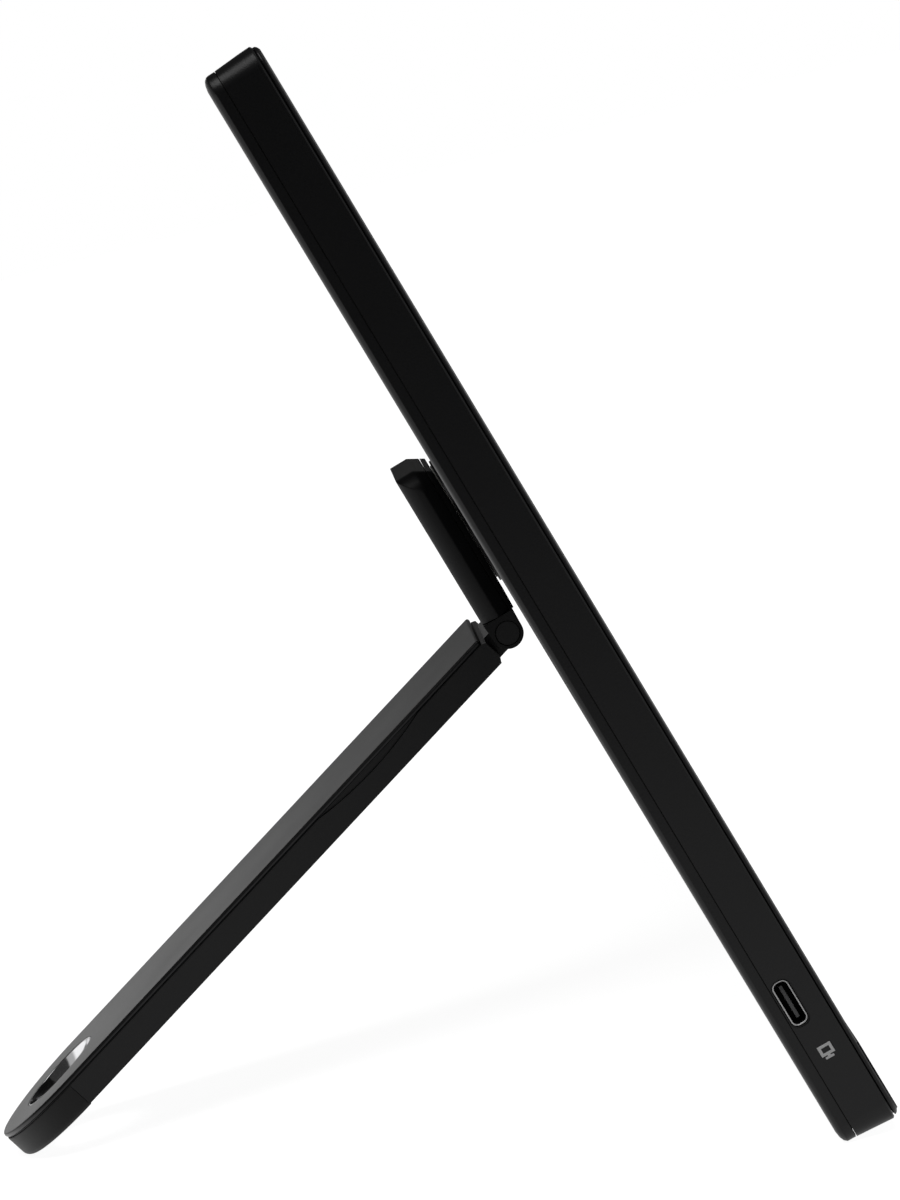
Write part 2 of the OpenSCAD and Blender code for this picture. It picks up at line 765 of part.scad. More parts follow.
module swivel_shaft() color([0.7, 0.7, 0.72]) in_stand() difference() {
  union() {
    post(floor_top, floor_top + flange_t, flange_r);
    post(brace_front - screen_t - 2 * washer_t - nut_t - 0.3, floor_top + 0.5, shaft_r);
  }
  round_swivel(flange_screw_r) post(floor_top - 1, floor_top + flange_t + 1, screw_r + 0.15);
  post(-screen_t, 2 * plate_out, shaft_r - 2.2);
}

module friction_washers() color([0.55, 0.5, 0.42]) in_stand()
  for (i = [0, 1]) difference() {
    back = brace_front - screen_t - i * washer_t - 0.05;
    post(back - washer_t + 0.02, back, nut_r + 1 - i);
    post(back - washer_t - 1, back + 1, shaft_r + fit_gap);
  }

module swivel_nut() color([0.6, 0.6, 0.62]) in_stand() difference() {
  back = brace_front - screen_t - 2 * washer_t - 0.05;
  across(back - nut_t, back) circle(nut_r, $fn = 6);
  post(back - nut_t - 1, back + 1, shaft_r + 0.02);
}

// Stand plate ------------------------------------------------------------

// The plate's full rounded outline, cut off square at z0
plate_tall = plate_up - plate_bottom + 2 * plate_corner;
module plate_upper(z0 = plate_bottom) {
  intersection() {
    translate([0, 0, plate_up - plate_tall]) children();
    translate([-stand_w, 0, z0]) cube([2 * stand_w, 2 * plate_out, plate_tall]);
  }
}

// How far the plate has drawn in at depth y, counted from its widest line
function drawn_in(y) = plate_under * (plate_wide - y) / (plate_wide - plate_gap);

// The plate's drawn-in body from depth y0 to y1, moved in by d
module plate_taper(y0, y1, d = 0) {
  rim(stand_w, plate_tall, plate_corner) polygon([
    [drawn_in(y0) + d, y0], [drawn_in(y1) + d, y1], [plate_core, y1], [plate_core, y0]
  ]);
  across(y0, y1) outline(stand_w, plate_tall, plate_corner, plate_core);
}

// The cover's outer half, moved in by d: rounded along its sides, cut off at its end
module plate_dome(d = 0) {
  half_w = stand_w / 2 - d;
  soft = plate_soft - d;
  intersection() {
    linear_extrude(plate_tall) {
      translate([soft - half_w, plate_wide]) square([2 * (half_w - soft), soft]);
      for (side = [-1, 1]) translate([side * (half_w - soft), plate_wide]) circle(soft);
    }
    across(plate_wide, plate_out) outline(stand_w, plate_tall, plate_corner, d);
  }
}

// The cover's full form, open towards the hinge when it is moved in by d
module plate_form(y0, d = 0) {
  plate_upper(plate_bottom + seam / 2 - d) {
    plate_dome(d);
    plate_taper(y0, plate_wide, d);
  }
}

module plate_cover() color([0.07, 0.07, 0.075]) in_stand() difference() {
  plate_form(plate_part + seam / 2);
  plate_form(plate_part, stand_wall);
}

module plate_shell() color([0.05, 0.05, 0.055]) in_stand() difference() {
  web_out = plate_out - stand_wall - fit_gap;
  union() {
    plate_upper() {
      plate_taper(plate_gap, plate_part - seam / 2);
      across(plate_gap, floor_top)
        outline(stand_w, plate_tall, plate_corner, stand_wall + plate_under + fit_gap);
    }
    // End wall at the hinge, between the two ears
    translate([-stand_w / 2 + plate_soft, plate_gap, plate_bottom])
      cube([stand_w - 2 * plate_soft, web_out - plate_gap, 1.6]);
    both_sides() {
      along_x(stand_w / 2 - ear_w, stand_w / 2) {
        translate([hinge_out, -hinge_drop]) circle(knuckle_r);
        polygon([
          [hinge_out - knuckle_r + 0.2, plate_bottom], [plate_out - 0.1, plate_bottom],
          [hinge_out + knuckle_r, -hinge_drop], [hinge_out - knuckle_r, -hinge_drop]
        ]);
      }
      translate([stand_w / 2 - ear_w, plate_gap, plate_bottom])
        cube([ear_w - plate_soft, web_out - plate_gap, 5]);
    }
  }
  translate([0, hinge_out, -hinge_drop]) {
    bar(-stand_w, stand_w, pin_r + 0.02);
    both_sides() bar(stand_w / 2 - cap_sunk - cap_t - 0.1, stand_w, cap_r + 0.05);
  }
  post(0, floor_top + 1, shaft_r + 0.02);
  round_swivel(flange_screw_r) post(plate_gap + 0.3, floor_top + 1, screw_r);
}

module flange_screws() color([0.6, 0.6, 0.62]) in_stand()
  round_swivel(flange_screw_r) translate([0, floor_top + flange_t + screw_head_h, 0])
    mirror([0, 1, 0]) screw(0, flange_t + stand_wall - 0.4, 1.5);

// Hinge ------------------------------------------------------------------

module hinge_pin() color([0.7, 0.7, 0.72]) in_stand()
  translate([0, hinge_out, -hinge_drop])
    bar(-stand_w / 2 + cap_sunk + cap_t + 0.1, stand_w / 2 - cap_sunk - cap_t - 0.1, pin_r);

module pin_caps() color([0.06, 0.06, 0.065]) in_stand() both_sides()
  translate([0, hinge_out, -hinge_drop])
    bar(stand_w / 2 - cap_sunk - cap_t, stand_w / 2 - cap_sunk, cap_r);

module hinge_sleeve() color([0.6, 0.58, 0.52]) in_leg() difference() {
  bar(-knuckle_w / 2, knuckle_w / 2, sleeve_r);
  bar(-knuckle_w, knuckle_w, pin_r + fit_gap);
}

// Leg --------------------------------------------------------------------

// The leg's plan, with its round end, moved in by d
module leg_plan(d = 0) {
  translate([-leg_r + d, -leg_end]) square([2 * (leg_r - d), leg_end - leg_start - d]);
  translate([0, -leg_end]) circle(leg_r - d);
}

module leg_cover() color([0.08, 0.08, 0.085]) in_leg() difference() {
  across(cover_in, leg_out) leg_plan();
  translate([0, 0, -hole_at]) post(cover_in - 1, leg_out + 1, liner_r + fit_gap);
}

// Half of a shape about the round end's centre, towards the tip
module tip_half() {
  intersection() {
    children();
    translate([-leg_r - 1, -leg_r, -leg_len - 1]) cube([2 * leg_r + 2, 2 * leg_r, leg_r + 1]);
  }
}

module leg_shell() color([0.06, 0.06, 0.065]) in_leg() difference() {
  union() {
    difference() {
      across(-leg_in, shell_top) leg_plan();
      across(leg_floor, shell_top + 1) leg_plan(stand_wall + 0.6);
      tip_half() across(-leg_in - 1, shell_top + 1) difference() {
        leg_plan(-1);
        leg_plan(foot_skin);
      }
      tip_half() across(-leg_in - 1, -leg_in + foot_floor) leg_plan(-1);
    }
    // Inner lip that the cover rests on, and the shelf that closes the groove
    across(shell_top - lip_w, cover_in) difference() {
      leg_plan(foot_skin);
      leg_plan(foot_skin + lip_w);
    }
    across(shell_top, cover_in) difference() {
      leg_plan(groove_depth);
      leg_plan(foot_skin + lip_w);
    }
    // Collar round the hanging hole
    translate([0, 0, -hole_at]) post(-leg_in + foot_floor, cover_in, liner_r + collar_t);
    // Knuckle and its web
    along_x(-knuckle_w / 2, knuckle_w / 2) {
      circle(knuckle_r);
      translate([-knuckle_r, -leg_start - 0.5]) square([knuckle_r + web_out, leg_start + 0.5]);
    }
    // Neck that carries the shell on towards the hinge
    along_x(-leg_r, leg_r) polygon([
      [-leg_in, -leg_start - 0.1], [-neck_in, -neck_start], [neck_out, -neck_start],
      [shell_top, -leg_start], [shell_top, -leg_start - 0.1]
    ]);
  }
  bar(-knuckle_w, knuckle_w, sleeve_r + 0.02);
  translate([0, 0, -hole_at]) post(-leg_in - 1, leg_out + 1, liner_r + fit_gap);
  at_leg_screws() post(leg_floor - 1.2, leg_floor + 1, screw_r);
  both_sides() translate([0, scoop_top, scoop_mid])
    bar(leg_r - 0.8, leg_r + 1, scoop_r);
}

// Finger scoop: a shallow lens cut into each side just below the groove
scoop_r = (scoop_len * scoop_len / 4 + scoop_h * scoop_h) / (2 * scoop_h);
scoop_top = shell_top + scoop_r - scoop_h;
scoop_mid = -scoop_at;

module at_leg_screws() {
  for (x = [-1, 1], z = [core_start + core_screw_in, core_end - core_screw_in])
    translate([x * core_screw_x, 0, -z]) children();
}

module leg_core() color([0.7, 0.7, 0.72]) in_leg() difference() {
  across(leg_floor, leg_floor + core_t)
    translate([-core_w / 2, -core_end]) square([core_w, core_end - core_start]);
  at_leg_screws() post(leg_floor - 1, leg_floor + core_t + 1, screw_r + 0.2);
  for (i = [1 : core_hole_count])
    translate([0, 0, -core_start - i * (core_end - core_start) / (core_hole_count + 1)])
      post(leg_floor - 1, leg_floor + core_t + 1, core_hole_r);
}

module leg_screws() color([0.6, 0.6, 0.62]) in_leg()
  at_leg_screws() translate([0, leg_floor + core_t + screw_head_h, 0])
    mirror([0, 1, 0]) screw(0, core_t + 1);

module hole_liner() color([0.85, 0.85, 0.86]) in_leg() translate([0, 0, -hole_at])
  rotate([-90, 0, 0]) rotate_extrude() polygon([
    [hole_throat_r, -leg_in], [hole_throat_r, leg_out - hole_flare],
    [hole_r, leg_out - 0.05], [liner_r, leg_out - 0.05], [liner_r, -leg_in]
  ]);

module foot_pad() color([0.1, 0.1, 0.1]) in_leg() difference() {
  translate([0, 0, -leg_end]) rotate([-90, 0, 0]) rotate_extrude(angle = 180) difference() {
    union() {
      translate([0, -leg_in - foot_proud])
        square([leg_r - foot_soft, shell_top + leg_in + foot_proud]);
      translate([0, foot_soft - leg_in - foot_proud])
        square([leg_r, shell_top + leg_in + foot_proud - foot_soft]);
      translate([leg_r - foot_soft, foot_soft - leg_in - foot_proud]) circle(foot_soft);
    }
    translate([0, -leg_in + foot_floor]) square([leg_r - foot_skin, leg_r]);
    translate([-leg_r, -leg_r]) square([leg_r, 2 * leg_r]);
  }
  translate([0, 0, -hole_at]) post(-leg_in - foot_proud - 1, leg_out, liner_r + fit_gap);
}

front_bezel();
display_glass();
optical_sheets();
light_guide();
reflector_sheet();
led_strip();
panel_tray();
tray_screws();
panel_board();
panel_flexes();
panel_cable();
side_frame();
rear_cover();
main_board();
side_board();
board_link();
button_board();
button_cable();
board_screws();
port_shells();
port_tongues();
video_port();
speakers();
power_button();
up_button();
down_button();
swivel_brace();
brace_screws();
glide_washer();
swivel_shaft();
friction_washers();
swivel_nut();
plate_shell();
plate_cover();
flange_screws();
hinge_pin();
pin_caps();
hinge_sleeve();
leg_shell();
leg_cover();
leg_core();
leg_screws();
hole_liner();
foot_pad();
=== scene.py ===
import json
import math
from typing import NamedTuple

import bmesh
import bpy
from bpy.props import FloatProperty, FloatVectorProperty, IntProperty, PointerProperty
from mathutils import Matrix, Vector


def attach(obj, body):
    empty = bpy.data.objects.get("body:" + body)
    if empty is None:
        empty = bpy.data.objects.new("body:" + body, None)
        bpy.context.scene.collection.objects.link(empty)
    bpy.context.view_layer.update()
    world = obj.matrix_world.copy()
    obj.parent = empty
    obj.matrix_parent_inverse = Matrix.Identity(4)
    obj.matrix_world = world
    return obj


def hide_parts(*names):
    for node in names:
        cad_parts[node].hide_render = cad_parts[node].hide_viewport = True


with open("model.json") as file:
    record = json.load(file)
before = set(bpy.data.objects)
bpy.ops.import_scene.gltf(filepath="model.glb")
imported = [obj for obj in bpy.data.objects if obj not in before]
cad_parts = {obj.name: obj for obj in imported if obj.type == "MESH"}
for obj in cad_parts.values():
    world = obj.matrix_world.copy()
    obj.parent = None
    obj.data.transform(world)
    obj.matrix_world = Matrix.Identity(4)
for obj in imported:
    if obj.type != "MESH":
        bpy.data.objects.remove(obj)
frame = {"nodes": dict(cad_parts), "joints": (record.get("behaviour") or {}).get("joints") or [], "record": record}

bl_info = {
    "name": "Portable Monitor with Kickstand",
    "version": (1, 0, 0),
    "blender": (4, 5, 0),
    "location": "3D View > Sidebar > Monitor",
    "description": "Dresses a portable monitor and its folding kickstand, piece by piece",
    "category": "Object",
}

NODES = frame["nodes"]
JOINTS = {joint["name"]: joint for joint in frame["joints"]}
MOUNTS = {mount["name"]: mount for mount in frame["record"]["mounts"]}
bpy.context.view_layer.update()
MM = 0.001
RIGHT = Vector((1, 0, 0))

# A softened copy of a CAD node: corners of its loose triangles this near merge, in metres;
# faces this flat become one, and edges sharper than this are rounded, in degrees
MERGE_WITHIN, FLAT_UP_TO, SOFTENED_FROM = 3e-6, 0.4, 34.0
# Edges sharper than this stay sharp in the shading of softened, built and turned pieces
SHARP_SOFTENED, SHARP_BUILT, SHARP_TURNED = 50, 32, 40

# Rounded edges that no setting gives: width in metres, and faces across
RIM, FINE_RIM, CAP_RIM, FOOT_RIM = (0.00013, 3), (0.00008, 2), (0.0002, 3), (0.0003, 3)
# Share of the edge setting that the housing and the bezel take, and of the leg cover's edge
# that its hole takes
HOUSING_SHARE, BEZEL_SHARE, HOLE_SHARE = 0.5, 0.6, 0.25
# Faces across the leg cover's edge
COVER_STEPS = 4

# Sizes from here to the liner are in millimetres.
# How far in from its front a connector's shell stays bright steel, and its tongue grey; deeper in, both are
# painted near-black as shade
RIM_DEPTH, TONGUE_DEPTH = 0.45, 1.2
# Middle of a contact from the tongue's tip and from its middle plane, and its size
CONTACT_FROM_TIP, CONTACT_LIFT, CONTACT_SIZE = 1.95, 0.355, (2.7, 0.03, 0.25)

# The mark's middle from the connector's, towards the back and up
MARK_AT = (-1.25, -10.8)
# Its outer and inner face from the wall, inwards
MARK_LAYERS = (-0.02, 0.01)
# Each of its bars, from the mark's middle: lowest and highest place towards the back, then up
MARK_BARS = (
    (-1.35, 1.35, 0.575, 1.125), (-1.35, 1.35, -0.975, -0.425), (-1.35, -0.8, -0.425, 0.575),
    (0.8, 1.35, -0.425, 0.575), (-0.3, 0.3, -1.225, -0.975), (-0.85, 0.85, -1.665, -1.225))
# The side wall leans in by the first size, from the second behind its front to its back
WALL_LEAN, WALL_START = 0.6, 0.3

# Liner of the hanging hole: faces round it and along its flare, and the power of its curve
LINER_ROUND, FLARE_STEPS, FLARE_CURVE = 160, 6, 1.3
# Points round its lip and the turn between them, and how near is the same radius or height
LIP_POINTS, LIP_TURN, SAME_PLACE = 7, 0.4, 0.01
# How far from the liner the leg cover's finer edge reaches
HOLE_MARGIN = 1

# Sizes of the stage are in metres.
# Where the camera stands, and which way its right and its top point
CAMERA_AT = (-1.0415674, -0.0143742, 0.2168856)
CAMERA_RIGHT = Vector((-0.04848980, -0.96788017, -0.24669152))
CAMERA_UP = Vector((0.10841173, -0.25062292, 0.96199535))
# Width of its sensor in millimetres, and how far it sees
SENSOR_WIDTH, CLIP_END = 36.0, 30
LAMP_AT, LAMP_AIM, LAMP_SIZE = (-0.8, 0.1, 1.5), (-0.8, 0.1, 0), (1.0, 1.3)
FLOOR_HALF = 6.0
# The floor's glow rises to white between these distances from the middle
GLOW_RISES = (0.25, 0.8)
# Its shine fades out towards the camera between these places along X
SHINE_FADES = (-1.2, -0.15)
# It is brighter round a spot behind the foot; that shine fades out between these distances
SPOT_AT, SPOT_FADES = (-0.003, 0.112, 0.0), (0.02, 0.045)

# Parts of the sky, by the way a ray goes: between which values of its X, Y or Z a part comes
# in or goes out, and its strength at both where that isn't 0 and 1 or a setting.
# The far sky lies beyond the object and low, and is strongest a little to the object's back
FAR_ALONG_X, FAR_UP_Z, FAR_LEAN_Y = (-0.1, 0.5), (0.05, 0.35), (0.08, 0.25)
FAR_EASES_Y = (0.28, 0.45, 1.0, 0.45)
# Its lean's power and gain, and its level without the lean
FAR_LEAN_POWER, FAR_LEAN_GAIN, FAR_LEVEL = 3.0, 4.2, 0.62
# The front sky lies before the screen, and is weaker towards the camera and higher up
FRONT_ALONG_Y = (-0.62, -0.42)
FRONT_ALONG_X = (0.3, 0.65, 0.28, 1.0)
FRONT_UP_Z = (0.12, 0.4, 1.0, 0.35)


def axes_frame(origin, out):
    """A matrix for millimetre places: X right, Y along `out`, Z up the piece, at `origin`."""
    out = Vector(out).normalized()
    up = RIGHT.cross(out)
    turn = Matrix((RIGHT, out, up)).transposed().to_4x4()
    return Matrix.Translation(Vector(origin)) @ turn @ Matrix.Scale(MM, 4)


# On the housing's back at the swivel's centre, and on the leg's hinge axis
BACK = axes_frame(JOINTS["stand_swivel"]["pos_m"], JOINTS["stand_swivel"]["axis"])
LEG = axes_frame(JOINTS["leg_hinge"]["pos_m"], MOUNTS["hanging_hole"]["axis"])
TILT = BACK.to_euler().x


def in_frame(matrix, node):
    """The lowest and highest corners of a CAD node in millimetres, in one of the two frames."""
    back = matrix.inverted()
    points = [back @ v.co for v in NODES[node].data.vertices]
    low = Vector(min(p[i] for p in points) for i in range(3))
    high = Vector(max(p[i] for p in points) for i in range(3))
    return low, high


# ---------------------------------------------------------------- properties

class MonitorFinish(bpy.types.PropertyGroup):
    """Colours and surface sizes of the monitor"""
    housing: FloatVectorProperty(name="Housing", description="Colour of the housing's plastic",
                                 subtype="COLOR", size=3, default=(0.0075, 0.0075, 0.0082))
    stand: FloatVectorProperty(name="Stand", description="Colour of the stand's plastic",
                               subtype="COLOR", size=3, default=(0.0080, 0.0080, 0.0087))
    plate: FloatVectorProperty(name="Plate", description="Colour of the stand plate's plastic",
                               subtype="COLOR", size=3, default=(0.0105, 0.0105, 0.0112))
    rubber: FloatVectorProperty(name="Rubber", description="Colour of the foot's rubber",
                                subtype="COLOR", size=3, default=(0.024, 0.024, 0.024))
    steel: FloatVectorProperty(name="Steel", description="Colour of the connector shells",
                               subtype="COLOR", size=3, default=(0.92, 0.92, 0.92))
    grain: FloatProperty(name="Grain", description="Size of the moulded grain",
                         subtype="DISTANCE", unit="LENGTH", default=0.00035, min=0.00005)
    edge: FloatProperty(name="Edge", description="Width of the moulded pieces' softened edges",
                        subtype="DISTANCE", unit="LENGTH", default=0.00016, min=0.00002)
    cover_edge: FloatProperty(name="Cover Edge", description="Width of the leg cover's rounded "
                              "edge", subtype="DISTANCE", unit="LENGTH", default=0.00055,
                              min=0.00002)
    contacts: IntProperty(name="Contacts", description="Contacts on each face of a tongue",
                          default=12, min=1, max=24)
    contact_pitch: FloatProperty(name="Contact Pitch", description="Distance between contacts",
                                 subtype="DISTANCE", unit="LENGTH", default=0.0005,
                                 min=0.0003)
    bevel_steps: IntProperty(name="Edge Steps", description="Faces across a softened edge",
                             default=2, min=1, max=4)


class MonitorStage(bpy.types.PropertyGroup):
    """Camera and light of the studio"""
    lens: FloatProperty(name="Lens", description="Focal length of the camera",
                        subtype="DISTANCE_CAMERA", default=145.35, min=20)
    floor: FloatProperty(name="Floor", description="How much light the floor throws back",
                         default=0.8, min=0, max=1)
    floor_glow: FloatProperty(name="Floor Glow", description="How bright the floor looks to the "
                              "camera, over the light that falls on it", default=0.94, min=0)
    floor_shine: FloatProperty(name="Floor Shine", description="How bright the floor looks in "
                               "glossy surfaces", default=0.5, min=0)
    foot_shine: FloatProperty(name="Foot Shine", description="How much brighter the floor behind "
                              "the foot looks in glossy surfaces", default=0.7, min=0)
    top_light: FloatProperty(name="Top Light", description="Power of the light above",
                             subtype="POWER", default=8.0, min=0)
    near_sky: FloatProperty(name="Near Sky", description="Strength of the sky all round",
                            default=0.039, min=0)
    far_sky: FloatProperty(name="Far Sky", description="Strength of the low sky beyond the "
                           "object", default=0.265, min=0)
    front_sky: FloatProperty(name="Front Sky", description="Strength of the sky in front of "
                             "the screen", default=0.9, min=0)


# ---------------------------------------------------------------- node trees

class Tree:
    """Makes nodes in a tree and feeds their sockets, by a value or from another socket"""

    def __init__(self, tree):
        self.nodes, self.link = tree.nodes, tree.links.new

    def feed(self, target, value):
        """Links a socket to the target, or gives the target a plain value."""
        if isinstance(value, bpy.types.NodeSocket):
            self.link(value, target)
        else:
            target.default_value = value

    def node(self, kind, feeds=None, **settings):
        """A new node with its settings, and with its inputs fed by name or number."""
        made = self.nodes.new(kind)
        for name, value in settings.items():
            setattr(made, name, value)
        for key, value in (feeds or {}).items():
            self.feed(made.inputs[key], value)
        return made

    def maths(self, operation, *values):
        """The result of a maths node."""
        return self.node("ShaderNodeMath", dict(enumerate(values)),
                         operation=operation).outputs[0]

    def eased(self, value, low, high, start=0.0, end=1.0, kind="SMOOTHSTEP"):
        """A socket that eases from `start`, where `value` is `low`, to `end` at `high`."""
        return self.node("ShaderNodeMapRange", {
            "Value": value, "From Min": low, "From Max": high, "To Min": start, "To Max": end,
        }, interpolation_type=kind).outputs["Result"]

    def axes(self, place):
        """The X, Y and Z of a vector."""
        return self.node("ShaderNodeSeparateXYZ", {0: place}).outputs


def add_socket(tree, name, kind, default=None, output=False):
    """A named input or output on a node group."""
    made = tree.interface.new_socket(name=name, in_out="OUTPUT" if output else "INPUT",
                                     socket_type=kind)
    if default is not None:
        made.default_value = default


# ---------------------------------------------------------------- materials

class Finish(NamedTuple):
    """One kind of surface"""
    name: str
    colour: object            # three numbers, or the name of a colour setting
    roughness: float
    grain: float = 0.0        # size in metres, or 0 for the grain setting
    depth: float = 0.00003    # depth of the grain in metres
    patchiness: float = 0.08  # how much the roughness wanders
    level: float = 0.5        # specular level
    bare: float = 0.0         # 1 is bare metal, and less is dull plating
    coat: float = 0.0         # weight of a coat on top


COAT_ROUGHNESS, GRAIN_STRENGTH = 0.3, 0.6
FINISHES = {
    "housing": Finish("Housing Plastic", "housing", 0.34),
    "bezel": Finish("Bezel Plastic", "housing", 0.34),
    "stand": Finish("Stand Plastic", "stand", 0.36),
    "plate": Finish("Plate Plastic", "plate", 0.48, level=0.36),
    "button": Finish("Button Plastic", (0.012, 0.012, 0.013), 0.36, depth=0.00001),
    "display": Finish("Display Front", (0.0105, 0.011, 0.0125), 0.38, 0.00025, 0.000006, 0.03,
                      coat=0.25),
    "rubber": Finish("Foot Rubber", "rubber", 0.6, 0.0006, 0.00004, 0.05, 0.38),
    # Black plastic of the speakers; on the connector tongues' deeper faces the same black is painted shade
    "socket": Finish("Socket Plastic And Painted Shade", (0.002, 0.002, 0.002), 0.6, 0.0003, 0.00001, 0.05, 0.2),
    "tongue": Finish("Tongue Plastic", (0.16, 0.16, 0.163), 0.3, 0.0003, 0.00001),
    "glide": Finish("Glide Plastic", (0.55, 0.55, 0.52), 0.4, 0.0006, 0.00001),
    "film": Finish("Diffuser Film", (0.82, 0.83, 0.85), 0.35, 0.0005, 0.000004),
    "board": Finish("Circuit Board", (0.01, 0.09, 0.04), 0.3, 0.001, 0.00002),
    "ribbon": Finish("Ribbon Cable", (0.6, 0.57, 0.5), 0.4, 0.001, 0.00001),
    "flex": Finish("Copper Flex", (0.5, 0.25, 0.06), 0.35, 0.001, 0.00001),
    "mark": Finish("Pad Print", (0.93, 0.93, 0.93), 0.5, 0.0004, 0.000004),
    "port": Finish("Connector Steel", "steel", 0.38, 0.0004, 0.000004, 0.1, bare=0.45),
    # Painted shade: near-black steel on the connector shells' inner faces, for the shade deep in their openings
    "port_painted_shade": Finish("Connector Painted Shade", (0.035, 0.035, 0.036), 0.6, 0.0004, 0.000004, 0.1,
                          bare=1.0),
    "liner": Finish("Polished Liner", (0.74, 0.74, 0.75), 0.1, 0.002, 0.000001, 0.1, bare=1.0),
    "contact": Finish("Contact Gold", (0.78, 0.55, 0.22), 0.25, 0.0006, 0.000004, 0.1, bare=1.0),
    "steel": Finish("Sheet Steel", (0.5, 0.5, 0.51), 0.36, 0.0006, 0.000004, 0.1, bare=1.0),
}


def moulded_grain():
    """Shader group: a fine spark-eroded grain and slow patches of more or less sheen."""
    name = "Moulded Grain"
    if name in bpy.data.node_groups:
        return bpy.data.node_groups[name]
    group = bpy.data.node_groups.new(name, "ShaderNodeTree")
    add_socket(group, "Grain Scale", "NodeSocketFloat", 2800.0)
    add_socket(group, "Roughness", "NodeSocketFloat", 0.5)
    add_socket(group, "Patchiness", "NodeSocketFloat", 0.06)
    add_socket(group, "Height", "NodeSocketFloat", output=True)
    add_socket(group, "Roughness", "NodeSocketFloat", output=True)
    tree = Tree(group)
    given = tree.node("NodeGroupInput").outputs
    place = tree.node("ShaderNodeTexCoord").outputs["Object"]
    fine = tree.node("ShaderNodeTexNoise", {"Vector": place, "Scale": given["Grain Scale"],
                                            "Detail": 2.0, "Roughness": 0.65})
    patches = tree.node("ShaderNodeTexNoise", {"Vector": place, "Scale": 38.0, "Detail": 3.0})
    centred = tree.maths("SUBTRACT", patches.outputs["Fac"], 0.5)
    tree.node("NodeGroupOutput", {
        "Height": fine.outputs["Fac"],
        "Roughness": tree.maths("MULTIPLY_ADD", centred, given["Patchiness"],
                                given["Roughness"])})
    return group


def finish_of(kind):
    """The material of a kind of surface, made when it is first asked for."""
    finish = FINISHES[kind]
    if finish.name in bpy.data.materials:
        return bpy.data.materials[finish.name]
    look = bpy.context.scene.monitor_finish
    colour = getattr(look, finish.colour) if isinstance(finish.colour, str) else finish.colour
    material = bpy.data.materials.new(finish.name)
    material.use_nodes = True
    tree = Tree(material.node_tree)
    shader = next(n for n in tree.nodes if n.type == "BSDF_PRINCIPLED").inputs
    grain = tree.node("ShaderNodeGroup", {
        "Grain Scale": 1 / (finish.grain or look.grain), "Roughness": finish.roughness,
        "Patchiness": finish.patchiness}, node_tree=moulded_grain())
    bump = tree.node("ShaderNodeBump", {"Strength": GRAIN_STRENGTH, "Distance": finish.depth,
                                        "Height": grain.outputs["Height"]})
    tree.feed(shader["Base Color"], (*colour, 1))
    tree.feed(shader["Roughness"], grain.outputs["Roughness"])
    tree.feed(shader["Normal"], bump.outputs["Normal"])
    tree.feed(shader["Specular IOR Level"], finish.level)
    tree.feed(shader["Metallic"], finish.bare)
    if finish.coat:
        tree.feed(shader["Coat Weight"], finish.coat)
        tree.feed(shader["Coat Roughness"], COAT_ROUGHNESS)
    return material


# ---------------------------------------------------------------- mesh helpers

def place(piece, body, *replaced, slot=None):
    """Rides a finished piece on its body, in place of the CAD nodes it stands for."""
    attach(piece, body)
    if replaced:
        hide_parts(*replaced)


def new_piece(name, bm, material, sharp=SHARP_BUILT):
    """Makes a mesh object at the origin out of a bmesh in world metres."""
    mesh = bpy.data.meshes.new(name)
    bm.to_mesh(mesh)
    bm.free()
    mesh.materials.append(material)
    piece = bpy.data.objects.new(name, mesh)
    bpy.context.scene.collection.objects.link(piece)
    mesh.shade_smooth()
    mesh.set_sharp_from_angle(angle=math.radians(sharp))
    return piece


def evaluated(piece):
    """Turns the result of a piece's modifiers into its plain mesh."""
    graph = bpy.context.evaluated_depsgraph_get()
    graph.update()
    mesh = bpy.data.meshes.new_from_object(piece.evaluated_get(graph))
    piece.modifiers.clear()
    piece.data = mesh


def softened(node, name, kind, width, steps, share=None):
    """A copy of a CAD node with its flat faces joined and its sharp edges rounded.

    `share` gives the part of the width that an edge takes, from the middle of the edge.
    """
    bm = bmesh.new()
    bm.from_mesh(NODES[node].data)
    bmesh.ops.remove_doubles(bm, verts=bm.verts, dist=MERGE_WITHIN)
    bmesh.ops.dissolve_limit(bm, angle_limit=math.radians(FLAT_UP_TO), verts=bm.verts,
                             edges=bm.edges, use_dissolve_boundaries=False)
    weight = bm.edges.layers.float.new("bevel_weight_edge")
    for edge in bm.edges:
        if edge.calc_face_angle(0) > math.radians(SOFTENED_FROM):
            middle = (edge.verts[0].co + edge.verts[1].co) / 2
            edge[weight] = share(middle) if share else 1.0
    material = finish_of(kind)
    piece = new_piece(name, bm, material, SOFTENED_FROM)
    bevel = piece.modifiers.new("Soft Edges", "BEVEL")
    bevel.width = width
    bevel.segments = steps
    bevel.limit_method = "WEIGHT"
    bevel.use_clamp_overlap = True
    bevel.harden_normals = False
    bevel.miter_outer = "MITER_ARC"
    evaluated(piece)
    piece.data.shade_smooth()
    piece.data.set_sharp_from_angle(angle=math.radians(SHARP_SOFTENED))
    weighted = piece.modifiers.new("Flat Faces Stay Flat", "WEIGHTED_NORMAL")
    weighted.keep_sharp = True
    evaluated(piece)
    piece.data.materials.clear()
    piece.data.materials.append(material)
    return piece


